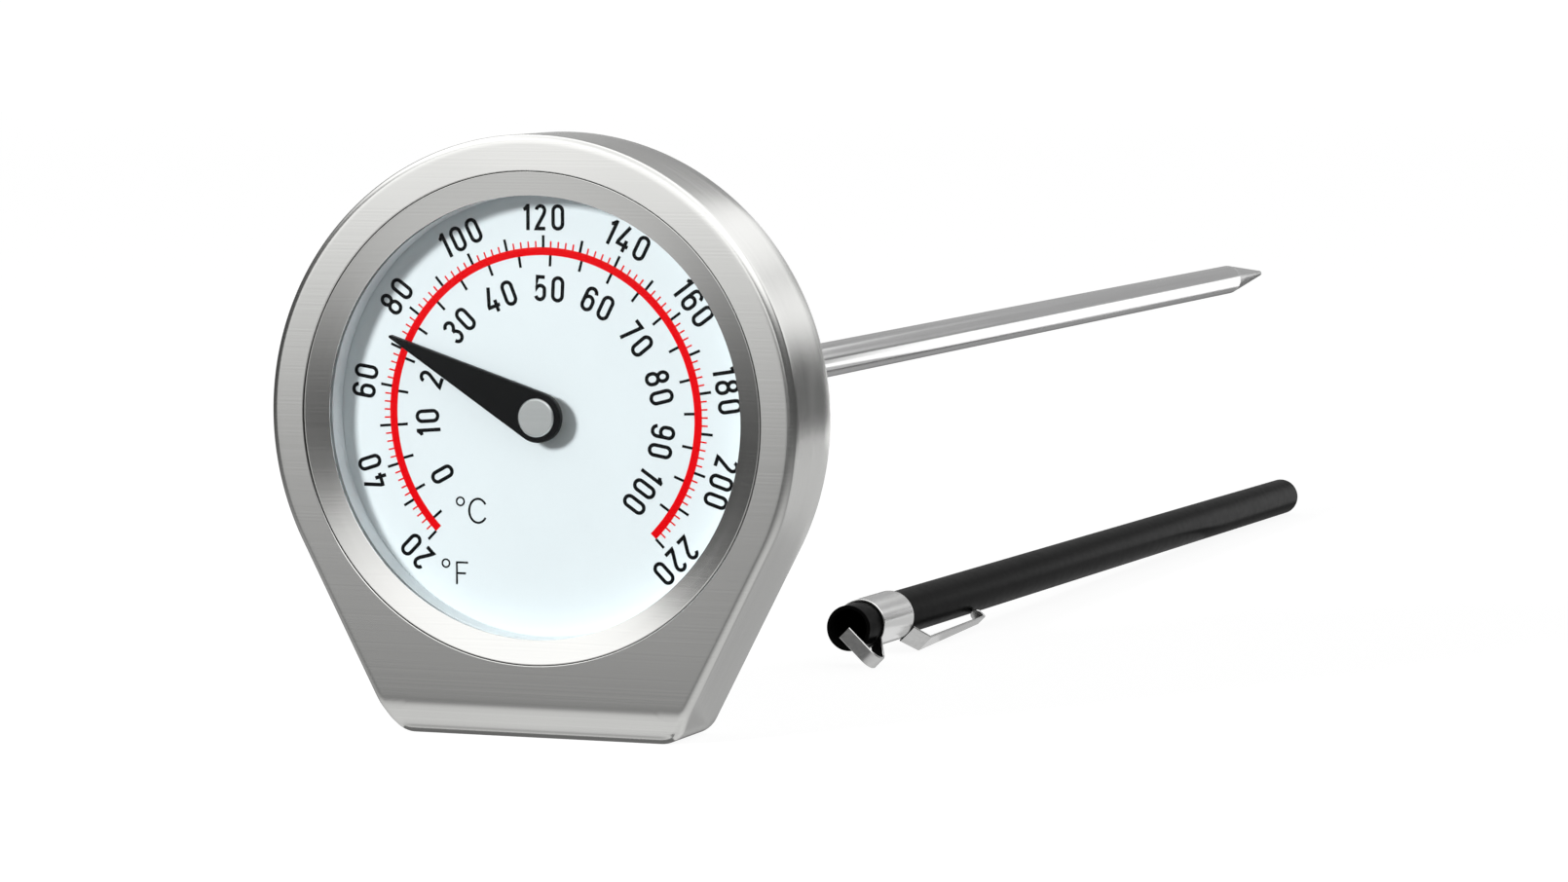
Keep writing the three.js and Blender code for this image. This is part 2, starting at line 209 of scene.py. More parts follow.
def add_piece(name, points, faces, place=None, sharp=35.0):
    """A mesh object from points in millimetres. Edges sharper than an angle in degrees stay crisp."""
    mesh = bpy.data.meshes.new(name)
    place = place or Matrix.Identity(4)
    mesh.from_pydata([(place @ Vector(p)) * MM for p in points], [], faces)
    bm = bmesh.new()
    bm.from_mesh(mesh)
    bmesh.ops.remove_doubles(bm, verts=bm.verts, dist=WELD)
    bmesh.ops.recalc_face_normals(bm, faces=bm.faces)
    for face in bm.faces:
        face.smooth = True
    for edge in bm.edges:
        edge.smooth = edge.calc_face_angle(0.0) < math.radians(sharp)
    bm.to_mesh(mesh)
    bm.free()
    piece = bpy.data.objects.new(name, mesh)
    bpy.context.scene.collection.objects.link(piece)
    return piece


def belongs(piece, body, slot, material, *replaced):
    """Ties a piece to its CAD body, gives it its material and hides the nodes it stands for. The slot is not
    used.
    """
    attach(piece, body)
    if replaced:
        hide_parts(*replaced)
    piece.data.materials.append(material)


def skin(rings, loop=False):
    """Points and faces of a surface through rings that all have the same number of points."""
    count = len(rings[0])
    points = [p for ring in rings for p in ring]
    faces = []
    for k in range(len(rings) if loop else len(rings) - 1):
        here = k * count
        there = ((k + 1) % len(rings)) * count
        for i in range(count):
            j = (i + 1) % count
            faces.append((here + i, here + j, there + j, there + i))
    return points, faces


def held(profile):
    """The profile with points close to both ends of its long runs, which keeps flat faces flat-shaded."""
    points = []
    following = profile[1:] + profile[:1]
    for a, b in zip(profile, following):
        points.append(a)
        run = Vector(b) - Vector(a)
        if run.length > 4 * HOLD:
            points += [tuple(Vector(a) + run.normalized() * HOLD), tuple(Vector(b) - run.normalized() * HOLD)]
    return points


def lathe(profile, segments=LATHE_STEPS):
    """A body turned about the Y axis from [radius, y] corners; closed on itself if it has a bore."""
    on_axis = profile[0][0] == 0
    if on_axis:
        profile = held(profile)[:-2]
    else:
        profile = held(profile)
    turns = [2 * math.pi * i / segments for i in range(segments)]
    rings = [[(r * math.sin(a), y, r * math.cos(a)) for a in turns] for r, y in profile]
    return skin(rings, loop=not on_axis)


def softened(corners, steps=4, closed=False):
    """A [x, y, radius] polyline whose corners are replaced by arcs of those radii."""
    path = []
    last = len(corners) - 1
    for i, (x, y, radius) in enumerate(corners):
        here = Vector((x, y))
        if radius <= 0 or (not closed and i in (0, last)):
            path.append((x, y))
            continue
        before = Vector(corners[i - 1][:2]) - here
        after = Vector(corners[(i + 1) % len(corners)][:2]) - here
        u, v = before.normalized(), after.normalized()
        half = u.angle(v) / 2
        reach = min(radius / math.tan(half), ARC_SHARE * min(before.length, after.length))
        radius = reach * math.tan(half)
        centre = here + (u + v).normalized() * (radius / math.sin(half))
        start, end = here + u * reach - centre, here + v * reach - centre
        swing = start.angle_signed(end)
        for k in range(steps + 1):
            turn = Matrix.Rotation(-swing * k / steps, 2)
            path.append(tuple(centre + turn @ start))
    return path


def rounded_ring(inner, outer, front, rear, edge, segments=LATHE_STEPS):
    """A ring of rectangular section with softened edges, about the Y axis."""
    corners = [(inner, front, edge), (outer, front, edge), (outer, rear, edge), (inner, rear, edge)]
    return lathe(softened(corners, closed=True), segments)


def at_dial():
    """The place of everything that is round about the dial's axis."""
    return Matrix.Translation((0, 0, DIAL_Z))


# ---------------------------------------------------------------- case

LEAST_CORNER = 0.4
# The face is divided finely close to its rolled edge, and coarsely from there to the window.
FACE_BAND = 3.2
FACE_BAND_STEP = 0.2
FACE_BAND_RINGS = 12
FACE_SHARES = (0.12, 0.3, 0.48, 0.64, 0.78, 0.88, 0.95)
WALL_DEPTHS = (-4.0, -3.2, -2.2, -1.0, 0.0, 1.0, 3.0)
INNER_DEPTHS = (1.0, -2.0)
INNER_FACE_STEP = 0.3


def outline(inset):
    """Points round the case outline, counter-clockwise from the middle of the foot, as (x, z)."""
    radius = CASE_RADIUS - inset
    corner = max(CORNER_RADIUS - inset, LEAST_CORNER)
    corner_z = inset + corner
    corner_x = (radius - corner + (corner_z - DIAL_Z) * math.sin(SIDE_TAPER)) / math.cos(SIDE_TAPER)
    right = [(corner_x * i / FOOT_STEPS, inset) for i in range(FOOT_STEPS)]
    for i in range(CORNER_STEPS):
        a = -math.pi / 2 + (math.pi / 2 - SIDE_TAPER) * i / CORNER_STEPS
        right.append((corner_x + corner * math.cos(a), corner_z + corner * math.sin(a)))
    toward = Vector((math.cos(SIDE_TAPER), -math.sin(SIDE_TAPER)))
    low = Vector((corner_x, corner_z)) + corner * toward
    high = Vector((0, DIAL_Z)) + radius * toward
    right += [tuple(low.lerp(high, i / FLANK_STEPS)) for i in range(FLANK_STEPS)]
    for i in range(HEAD_STEPS):
        a = -SIDE_TAPER + (math.pi / 2 + SIDE_TAPER) * i / HEAD_STEPS
        right.append((radius * math.cos(a), DIAL_Z + radius * math.sin(a)))
    left = [(-x, z) for x, z in reversed(right[1:])]
    return right + [(0.0, DIAL_Z + radius)] + left


def circle_like_outline(radius):
    """Points on a circle about the dial's centre, each in the direction of its outline point."""
    points = []
    for x, z in outline(0):
        away = Vector((x, z - DIAL_Z)).normalized() * radius
        points.append((away.x, DIAL_Z + away.y))
    return points


def toe(z):
    """How far the front of the case is bent back at a height."""
    bend = TOE_SOFT * math.log1p(math.exp((TOE_START - z) / TOE_SOFT))
    return min(TOE_SLOPE * bend, TOE_MOST)


def case_ring(points, y):
    """A ring at a depth, with the toe's bend fading out towards the back."""
    fade = min(max((TOE_FADE_END - y) / (TOE_FADE_END - FACE_Y - EDGE_ROUND), 0.0), 1.0)
    return [(x, y + toe(z) * fade, z) for x, z in points]


def between(first, second, share):
    """Points part of the way from one outline to another."""
    return [(a[0] + (b[0] - a[0]) * share, a[1] + (b[1] - a[1]) * share) for a, b in zip(first, second)]


def case_shell():
    """The drawn steel case: face with its window, rolled edge, side wall, rear rim and inside."""
    inner_y = FACE_Y + CASE_WALL
    window = circle_like_outline(WINDOW_RADIUS)
    rings = [case_ring(window, inner_y), case_ring(window, FACE_Y + WINDOW_ROUND)]
    rings.append(case_ring(circle_like_outline(WINDOW_RADIUS + WINDOW_ROUND), FACE_Y))
    face_band = outline(FACE_BAND)
    rings += [case_ring(between(window, face_band, share), FACE_Y) for share in FACE_SHARES]
    for i in range(FACE_BAND_RINGS):
        rings.append(case_ring(outline(FACE_BAND - FACE_BAND_STEP * i), FACE_Y))
    for i in range(EDGE_STEPS + 1):
        a = math.pi / 2 * i / EDGE_STEPS
        inset = EDGE_ROUND * (1 - math.sin(a))
        rings.append(case_ring(outline(inset), FACE_Y + EDGE_ROUND * (1 - math.cos(a))))
    rings += [case_ring(outline(0), y) for y in WALL_DEPTHS]
    for i in range(REAR_STEPS + 1):
        a = math.pi / 2 * i / REAR_STEPS
        inset = REAR_ROUND * (1 - math.cos(a))
        rings.append(case_ring(outline(inset), REAR_Y - REAR_ROUND * (1 - math.sin(a))))
    rings.append(case_ring(outline(CASE_WALL - REAR_CHAMFER), REAR_Y))
    rings.append(case_ring(outline(CASE_WALL), REAR_Y - REAR_CHAMFER))
    rings += [case_ring(outline(CASE_WALL), y) for y in (*INNER_DEPTHS, inner_y + INNER_FACE_STEP, inner_y)]
    rings.append(case_ring(between(window, face_band, 0.5), inner_y))
    return skin(rings, loop=True)


def back_cover():
    """Flat cover set into the rear of the case, with a rolled rim and a hole for the bushing."""
    front, rear = cover_lo.y, cover_hi.y
    edge = CASE_WALL + COVER_GAP
    hole_radius = BUSHING_NECK + COVER_HOLE_GAP
    hole = circle_like_outline(hole_radius)
    middle = between(hole, outline(edge), 0.5)
    levels = [
        (hole, front + 0.05),
        (hole, rear - COVER_HOLE_ROUND),
        (circle_like_outline(hole_radius + COVER_HOLE_ROUND), rear),
        (circle_like_outline(hole_radius + 2 * COVER_HOLE_ROUND), rear),
        (middle, rear),
        (outline(edge + COVER_RIM + 0.1), rear),
        (outline(edge + COVER_RIM), rear),
        (outline(edge + 0.12), rear - 0.1),
        (outline(edge), rear - COVER_RIM),
        (outline(edge), front),
        (middle, front),
    ]
    return skin([case_ring(points, y) for points, y in levels], loop=True)


# ---------------------------------------------------------------- dial printing

def arc(cx, cz, rx, rz, start, end, steps=14):
    """Points on an ellipse from one angle to another, in degrees, as (x, z)."""
    turns = [math.radians(start + (end - start) * i / steps) for i in range(steps + 1)]
    return [(cx + rx * math.cos(a), cz + rz * math.sin(a)) for a in turns]


# Height of the strokes' centre lines: the digits' outlines are one stroke taller and wider.
TALL = DIGIT_HEIGHT - DIGIT_STROKE
HALF_PEN = DIGIT_STROKE / 2


def ellipse(cx, cz, rx, rz):
    """Closed loop of points on a whole ellipse."""
    return arc(cx, cz, rx, rz, 0, 360, RING_STEPS)[:-1]


def oval(width, low, high):
    """Closed loop with round ends."""
    r = width / 2
    return arc(r, high - r, r, r, 0, 180) + arc(r, low + r, r, r, 180, 360)


# Each digit is its centre-line width and a list of (points, closed) strokes.
DIGITS = {
    "0": (1.02, [(oval(1.02, 0, TALL), True)]),
    "1": (0.46, [
        ([(0.46, -HALF_PEN), (0.46, TALL + HALF_PEN)], False),
        ([(-0.02, TALL - 0.38), (0.18, TALL - 0.3), (0.38, TALL - 0.02)], False),
    ]),
    "2": (0.9, [
        (arc(0.45, TALL - 0.47, 0.45, 0.47, 170, -8)
         + [(0.8, TALL - 0.85), (0.08, 0.2), (0.0, 0.0), (0.96, 0.0)], False),
    ]),
    "3": (0.95, [
        (arc(0.47, TALL - 0.46, 0.46, 0.46, 165, -40) + [(0.6, TALL - 1.02), (0.42, TALL - 1.06)], False),
        ([(0.42, TALL - 1.06), (0.66, TALL - 1.14)] + arc(0.475, 0.55, 0.475, 0.55, 45, -165), False),
    ]),
    "4": (1.1, [
        ([(0.6, TALL + HALF_PEN), (0.0, 0.66), (0.0, 0.46), (1.2, 0.46)], False),
        ([(0.82, 1.05), (0.82, -HALF_PEN)], False),
    ]),
    "5": (0.95, [
        ([(0.93, TALL), (0.12, TALL), (0.06, 1.08)] + arc(0.49, 0.98, 0.46, 0.42, 150, 15, 8)
         + arc(0.475, 0.52, 0.475, 0.52, 0, -160), False),
    ]),
    "6": (1.02, [
        (oval(1.02, 0, 1.38), True),
        ([(0.0, 0.8)] + arc(0.51, TALL - 0.51, 0.51, 0.51, 180, 5), False),
    ]),
    "7": (0.96, [([(0.0, TALL), (0.96, TALL), (0.3, -HALF_PEN)], False)]),
    "8": (1.06, [
        (oval(1.06, 0, 1.24), True),
        (ellipse(0.53, 1.77, 0.45, 0.53), True),
    ]),
}
DIGITS["9"] = (1.02, [([(1.02 - x, TALL - z) for x, z in line], shut) for line, shut in DIGITS["6"][1]])


def ink_strip(line, width, shut, front):
    """A thin closed strip of ink along a line of (x, z) points measured from the dial's centre."""
    rings = []
    last = len(line) - 1
    for i, (x, z) in enumerate(line):
        here = Vector((x, z))
        before = Vector(line[i - 1]) if i or shut else None
        after = Vector(line[(i + 1) % len(line)]) if i < last or shut else None
        into = (here - before).normalized() if before else (after - here).normalized()
        out = (after - here).normalized() if after else into
        along = (into + out).normalized()
        side = Vector((-along.y, along.x)) * (width / 2 / max(along.dot(into), 0.5))
        left, right = here + side, here - side
        back = DIAL_Y + INK_SUNK
        rings.append([(left.x, front, DIAL_Z + left.y), (right.x, front, DIAL_Z + right.y),
                      (right.x, back, DIAL_Z + right.y), (left.x, back, DIAL_Z + left.y)])
    points, faces = skin(rings, loop=shut)
    if not shut:
        end = 4 * last
        faces += [(3, 2, 1, 0), (end, end + 1, end + 2, end + 3)]
    return points, faces


def ink_piece(name, strips):
    """One piece from (line, width, closed) strips. Strips that cross differ a little in height."""
    points, faces = [], []
    for i, (line, width, shut) in enumerate(strips):
        front = DIAL_Y - INK_THICK - INK_LAYER * (i % 3)
        more_points, more_faces = ink_strip(line, width, shut, front)
        base = len(points)
        points += more_points
        faces += [tuple(base + corner for corner in face) for face in more_faces]
    return add_piece(name, points, faces)


def polar(angle, radius):
    """A point at an angle in degrees clockwise from the top."""
    a = math.radians(angle)
    return (radius * math.sin(a), radius * math.cos(a))


def scale_angle(fahrenheit):
    """Where a temperature stands on the scale, in degrees clockwise from the top."""
    return (fahrenheit - SCALE_LOW) * DEGREES_PER_F - SCALE_HALF_SWEEP


def fahrenheit_of(celsius):
    """The same temperature in degrees Fahrenheit."""
    return celsius * 1.8 + 32


def number(text, angle, radius):
    """Strokes of a number centred at an angle and radius, its top outwards."""
    width = sum(DIGITS[c][0] + DIGIT_STROKE for c in text) + DIGIT_GAP * (len(text) - 1)
    cursor = -width / 2 + HALF_PEN
    turn = Matrix.Rotation(math.radians(-angle), 2)
    centre = Vector(polar(angle, radius))
    strokes = []
    for c in text:
        wide, lines = DIGITS[c]
        for line, shut in lines:
            placed = [tuple(centre + turn @ Vector((cursor + x, z - TALL / 2))) for x, z in line]
            strokes.append((placed, DIGIT_STROKE, shut))
        cursor += wide + DIGIT_STROKE + DIGIT_GAP
    return strokes


def tick(angle, inner, outer, width):
    """Stroke along a radius."""
    return ([polar(angle, inner), polar(angle, outer)], width, False)


def unit_letters():
    """Strokes of the letters C and F, each with its degree sign."""
    letter_c = arc(-7.35, -9.8, 0.98, 1.22, 34, 326, LETTER_STEPS)
    c_degree_sign = ellipse(-9.3, -8.9, 0.42, 0.42)
    f_stem_and_top_bar = [(-9.75, -17.35), (-9.75, -15.12), (-8.5, -15.12)]
    f_middle_bar = [(-9.65, -16.22), (-8.75, -16.22)]
    f_degree_sign = ellipse(-10.95, -15.25, 0.4, 0.4)
    return [
        (letter_c, LETTER_C_STROKE, False),
        (c_degree_sign, DEGREE_SIGN_STROKE, True),
        (f_stem_and_top_bar, LETTER_F_STROKE, False),
        (f_middle_bar, LETTER_F_STROKE, False),
        (f_degree_sign, DEGREE_SIGN_STROKE, True),
    ]


def black_print():
    """Ticks and numbers of both scales, and their units."""
    strips = []
    for degrees_f in range(SCALE_LOW, SCALE_HIGH + 1, 10):
        strips.append(tick(scale_angle(degrees_f), *F_TICKS, TICK_WIDTH))
    for degrees_f in range(SCALE_LOW, SCALE_HIGH + 1, 20):
        strips += number(str(degrees_f), scale_angle(degrees_f), F_NUMBER_RADIUS)
    for degrees_c in range(-5, 101, 5):
        strips.append(tick(scale_angle(fahrenheit_of(degrees_c)), *C_TICKS, TICK_WIDTH))
    for degrees_c in range(0, 101, 10):
        strips += number(str(degrees_c), scale_angle(fahrenheit_of(degrees_c)), C_NUMBER_RADIUS)
    return strips + unit_letters()


def red_print():
    """The arc between the scales, and a small tick for every second degree Fahrenheit."""
    sweep = [-SCALE_HALF_SWEEP + 2 * SCALE_HALF_SWEEP * i / ARC_STEPS for i in range(ARC_STEPS + 1)]
    strips = [([polar(angle, ARC_RADIUS) for angle in sweep], ARC_WIDTH, False)]
    tick_start = ARC_RADIUS + ARC_WIDTH / 2 - RED_TICK_OVERLAP
    for degrees_f in range(SCALE_LOW, SCALE_HIGH, 2):
        if degrees_f % 10:
            strips.append(tick(scale_angle(degrees_f), tick_start, RED_TICK_END, RED_TICK_WIDTH))
    return strips


# ---------------------------------------------------------------- pointer, nut and clip parts

def pointer_outline(inset):
    """The blade's edge, pointing up: a round hub whose tangents run out to a narrow tip."""
    lean = math.asin((POINTER_HUB - POINTER_TIP) / (POINTER_LENGTH - POINTER_TIP))
    hub, tip = POINTER_HUB - inset, max(POINTER_TIP - inset, POINTER_TIP_LEAST)
    hub_turns = [math.pi - lean + (math.pi + 2 * lean) * i / HUB_STEPS for i in range(HUB_STEPS + 1)]
    tip_turns = [lean + (math.pi - 2 * lean) * i / TIP_STEPS for i in range(TIP_STEPS + 1)]
    top = POINTER_LENGTH - POINTER_TIP - inset * POINTER_TIP_PULL
    edge = [(hub * math.cos(a), hub * math.sin(a)) for a in hub_turns]
    return edge + [(tip * math.cos(a), top + tip * math.sin(a)) for a in tip_turns]


def pointer_blade():
    """Flat stamped blade with a hole at its hub and edges that are rounded, more so at the front."""
    front, rear = pointer_lo.y, pointer_hi.y
    edge = pointer_outline(0)
    hole = [tuple(Vector(point).normalized() * POINTER_HOLE) for point in edge]
    levels = [
        (hole, rear),
        (hole, front),
        (pointer_outline(0.13), front),
        (pointer_outline(0.05), front + 0.045),
        (edge, front + 0.14),
        (edge, rear - 0.06),
        (pointer_outline(0.05), rear),
    ]
    return skin([[(x, y, z) for x, z in points] for points, y in levels], loop=True)


def hex_nut():
    """Hexagon with a bore, whose corners are cut by a cone at both ends."""
    corner = (nut_hi.z - nut_lo.z) / 2
    flats = corner * math.cos(math.radians(30))
    front, rear = nut_lo.y, nut_hi.y
    cones = []
    for k in range(CONE_STEPS + 1):
        cones.append((NUT_CHAMFER / 2 * k / CONE_STEPS, corner - NUT_CHAMFER * (1 - k / CONE_STEPS)))
    levels = [(front + depth, cone) for depth, cone in cones]
    levels += [(rear - depth, cone) for depth, cone in reversed(cones)]
    turns = [2 * math.pi * i / LATHE_STEPS for i in range(LATHE_STEPS)]
    rings = []
    for y, cone in levels:
        ring = []
        for a in turns:
            from_flat = (a % (math.pi / 3)) - math.pi / 6
            radius = min(flats / math.cos(from_flat), cone)
            ring.append((radius * math.sin(a), y, radius * math.cos(a)))
        rings.append(ring)
    bore = STEM_RADIUS + NUT_BORE_GAP
    mouth = bore + NUT_BORE_CHAMFER
    inner = [(mouth, rear), (bore, rear - NUT_BORE_CHAMFER), (bore, front + NUT_BORE_CHAMFER), (mouth, front)]
    for radius, y in inner:
        rings.append([(radius * math.sin(a), y, radius * math.cos(a)) for a in turns])
    return skin(rings, loop=True)


def ribbon(line, widths):
    """A bent strip with softened edges, along a line of (x, y) points, widths measured along Z."""
    rings = []
    for i, (x, y) in enumerate(line):
        before = Vector(line[max(i - 1, 0)])
        after = Vector(line[min(i + 1, len(line) - 1)])
        along = (after - before).normalized()
        normal = Vector((-along.y, along.x))
        half, wide = STRIP_THICK / 2, widths[i] / 2
        e = min(STRIP_EDGE, wide * 0.45)
        section = [(-half, -wide + e), (-half + e, -wide), (half - e, -wide), (half, -wide + e),
                   (half, wide - e), (half - e, wide), (-half + e, wide), (-half, wide - e)]
        rings.append([(x + normal.x * out, y + normal.y * out, across) for out, across in section])
    points, faces = skin(rings)
    size = len(rings[0])
    last = len(points) - size
    faces += [tuple(range(size - 1, -1, -1)), tuple(range(last, last + size))]
    return points, faces


def resampled(path, step):
    """The path with extra points, so that no two are further apart than a step."""
    dense = [path[0]]
    for a, b in zip(path, path[1:]):
        count = max(1, math.ceil((Vector(b) - Vector(a)).length / step))
        dense += [tuple(Vector(a).lerp(Vector(b), (k + 1) / count)) for k in range(count)]
    return dense


def hook_path():
    """Retaining spring: out from the band's front edge, round a bend and back across the mouth."""
    bend = Vector(HOOK_BEND)

    def touch(point, side):
        """Angle round the bend at which a straight run from a point touches it."""
        away = Vector(point) - bend
        return math.atan2(away.y, away.x) + side * math.acos(HOOK_BEND_RADIUS / away.length)

    start, finish = touch(HOOK_ROOT, -1), touch(HOOK_END, 1)
    while finish > start:
        finish -= 2 * math.pi
    turns = [start + (finish - start) * i / HOOK_STEPS for i in range(HOOK_STEPS + 1)]
    curve = [tuple(bend + HOOK_BEND_RADIUS * Vector((math.cos(a), math.sin(a)))) for a in turns]
    return resampled([HOOK_ROOT] + curve + [HOOK_END], HOOK_STEP)


def clip_path():
    """Pocket clip: out from the band's rear edge, along the sheath, and folded back in to touch it."""
    return resampled(softened(CLIP_CORNERS, steps=6), CLIP_STEP)


def clip_widths(path):
    """The clip tapers along its arm and ends in a round tab."""
    widths = []
    start, finish = path[0][1], path[-1][1]
    end = Vector(path[-1])
    for x, y in path:
        share = min(max((y - start) / (finish - start), 0), 1)
        width = CLIP_WIDTH + (TAB_WIDTH - CLIP_WIDTH) * share
        to_end = (Vector((x, y)) - end).length
        if to_end < TAB_WIDTH / 2:
            near = TAB_WIDTH / 2 - to_end
            width = min(width, 2 * math.sqrt(max((TAB_WIDTH / 2) ** 2 - near ** 2, 0.01)))
        widths.append(width)
    return widths


def end_centre(node, far):
    """Centre of a long node's flat end, from its vertices, in millimetres."""
    points = [v.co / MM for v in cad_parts[node].data.vertices]
    edge = max(p.y for p in points) if far else min(p.y for p in points)
    near = [p for p in points if abs(p.y - edge) < END_NEAR]
    return sum(near, Vector()) / len(near)


def sheath_place():
    """The sheath's own frame: origin at its mouth, Y along the bore, X towards the clip."""
    mouth, far_end = end_centre("sheath_tube", False), end_centre("sheath_tube", True)
    along = (far_end - mouth).normalized()
    level = along.cross(Vector((0, 0, 1))).normalized()
    up = level.cross(along)
    toward_clip = level * math.cos(CLIP_ROLL) - up * math.sin(CLIP_ROLL)
    turn = Matrix((toward_clip, along, toward_clip.cross(along))).transposed()
    return Matrix.Translation(mouth) @ turn.to_4x4(), (far_end - mouth).length


# ---------------------------------------------------------------- materials

NOISE_ROUGHNESS = 0.55
# Frequencies per metre: a coat's fine grain, and the broad unevenness under streaks and grain
COAT_GRAIN = (900, 900, 900)
METAL_BROAD = (60, 60, 60)
COAT_BROAD = (80, 80, 80)
BROAD_SHARE = 0.35
METAL_RELIEF = 0.02 * MM
COAT_RELIEF = 0.03 * MM
METAL_GLOSS_SPREAD = 0.07
COAT_GLOSS_SPREAD = 0.1
LENS_MIRROR_LEAST = 0.004
LENS_MIRROR_MOST = 0.5


def add_node(tree, kind, inputs=None, **settings):
    """A node with its settings, and with its inputs linked where they are sockets and set where not."""
    node = tree.nodes.new(kind)
    for key, value in settings.items():
        setattr(node, key, value)
    for key, value in (inputs or {}).items():
        if isinstance(value, bpy.types.NodeSocket):
            tree.links.new(value, node.inputs[key])
        else:
            node.inputs[key].default_value = value
    return node


def new_material(name):
    """A material with an empty node tree."""
    material = bpy.data.materials.new(name)
    material.use_nodes = True
    tree = material.node_tree
    tree.nodes.clear()
    return material, tree


def finish_material(tree, shader):
    """Leads a shader to the material's output."""
    output = add_node(tree, "ShaderNodeOutputMaterial")
    tree.links.new(shader, output.inputs["Surface"])


def stretched_noise(tree, scale, detail=2.0):
    """Noise in the piece's own coordinates, with a frequency per metre along each axis."""
    place = add_node(tree, "ShaderNodeTexCoord")
    mapping = add_node(tree, "ShaderNodeMapping", {"Vector": place.outputs["Object"], "Scale": scale})
    noise = add_node(tree, "ShaderNodeTexNoise", {
        "Vector": mapping.outputs["Vector"], "Scale": 1.0, "Detail": detail, "Roughness": NOISE_ROUGHNESS,
    })
    return noise.outputs["Fac"]


def ranged(tree, value, low, high, start=0.3, end=0.7):
    """A value between start and end spread over low to high."""
    node = add_node(tree, "ShaderNodeMapRange", {
        "Value": value, "From Min": start, "From Max": end, "To Min": low, "To Max": high,
    })
    return node.outputs["Result"]


def mixed(tree, factor, first, second, kind="FLOAT"):
    """A blend of two numbers or, with kind RGBA, of two colours."""
    node = add_node(tree, "ShaderNodeMix", data_type=kind)
    names = {"FLOAT": (2, 3), "RGBA": (6, 7)}[kind]
    for index, value in zip((0,) + names, (factor, first, second)):
        if isinstance(value, bpy.types.NodeSocket):
            tree.links.new(value, node.inputs[index])
        else:
            node.inputs[index].default_value = value
    return node.outputs[{"FLOAT": 0, "RGBA": 2}[kind]]


def two_tones(tree, factor, colour, contrast):
    """A tint that goes from a darker to a lighter tone of a colour."""
    dark = [c * (1 - contrast) for c in colour] + [1]
    light = [min(c * (1 + contrast), 1) for c in colour] + [1]
    return mixed(tree, ranged(tree, factor, 0.0, 1.0), dark, light, "RGBA")


def metal(name, colour, roughness, streaks, side_streaks=None, contrast=0.1, bump=0.12, anisotropic=0.0):
    """Worked metal. Its streaks are noise stretched along the work, and drive colour, gloss and relief.
    Faces that look sideways may have streaks of their own."""
    material, tree = new_material(name)
    fine = stretched_noise(tree, streaks, detail=1.0)
    if side_streaks:
        place = add_node(tree, "ShaderNodeTexCoord")
        parts = add_node(tree, "ShaderNodeSeparateXYZ", {"Vector": place.outputs["Normal"]})
        facing = add_node(tree, "ShaderNodeMath", {0: parts.outputs["Y"]}, operation="ABSOLUTE")
        on_side = ranged(tree, facing.outputs["Value"], 1.0, 0.0, 0.4, 0.7)
        fine = mixed(tree, on_side, fine, stretched_noise(tree, side_streaks, detail=1.0))
    broad = stretched_noise(tree, METAL_BROAD, detail=1.0)
    tint = two_tones(tree, mixed(tree, BROAD_SHARE, fine, broad), colour, contrast)
    relief = add_node(tree, "ShaderNodeBump", {"Height": fine, "Strength": bump, "Distance": METAL_RELIEF})
    smooth, dull = roughness * (1 - METAL_GLOSS_SPREAD), roughness * (1 + METAL_GLOSS_SPREAD)
    inputs = {
        "Base Color": tint, "Metallic": 1.0, "Normal": relief.outputs["Normal"],
        "Roughness": ranged(tree, fine, smooth, dull),
    }
    if anisotropic:
        tangent = add_node(tree, "ShaderNodeTangent", direction_type="RADIAL", axis="X")
        inputs["Tangent"] = tangent.outputs["Tangent"]
        inputs["Anisotropic"] = anisotropic
    shader = add_node(tree, "ShaderNodeBsdfPrincipled", inputs)
    finish_material(tree, shader.outputs["BSDF"])
    return material


def coated(name, colour, roughness, contrast=0.06, bump=0.05, specular=0.5):
    """Paint or plastic. A fine grain drives its gloss and relief, and a broad unevenness its colour."""
    material, tree = new_material(name)
    fine = stretched_noise(tree, COAT_GRAIN)
    broad = stretched_noise(tree, COAT_BROAD)
    tint = two_tones(tree, broad, colour, contrast)
    relief = add_node(tree, "ShaderNodeBump", {"Height": fine, "Strength": bump, "Distance": COAT_RELIEF})
    smooth, dull = roughness * (1 - COAT_GLOSS_SPREAD), roughness * (1 + COAT_GLOSS_SPREAD)
    shader = add_node(tree, "ShaderNodeBsdfPrincipled", {
        "Base Color": tint, "Normal": relief.outputs["Normal"], "Specular IOR Level": specular,
        "Roughness": ranged(tree, fine, smooth, dull),
    })
    finish_material(tree, shader.outputs["BSDF"])
    return material


def clear_lens(name):
    """Thin pane: it shows what is behind it and mirrors a little, more at grazing angles."""
    material, tree = new_material(name)
    haze = stretched_noise(tree, (400, 400, 400))
    gloss = add_node(tree, "ShaderNodeBsdfGlossy", {
        "Color": (1, 1, 1, 1), "Roughness": ranged(tree, haze, 0.02, 0.05),
    })
    through = add_node(tree, "ShaderNodeBsdfTransparent", {"Color": (0.98, 0.993, 0.996, 1)})
    slant = add_node(tree, "ShaderNodeLayerWeight", {"Blend": 0.5})
    steep = add_node(tree, "ShaderNodeMath", {0: slant.outputs["Facing"], 1: 4.0}, operation="POWER")
    mirror = ranged(tree, steep.outputs["Value"], LENS_MIRROR_LEAST, LENS_MIRROR_MOST, 0.0, 1.0)
    both = add_node(tree, "ShaderNodeMixShader", {
        0: mirror, 1: through.outputs["BSDF"], 2: gloss.outputs["BSDF"],
    })
    finish_material(tree, both.outputs["Shader"])
    return material


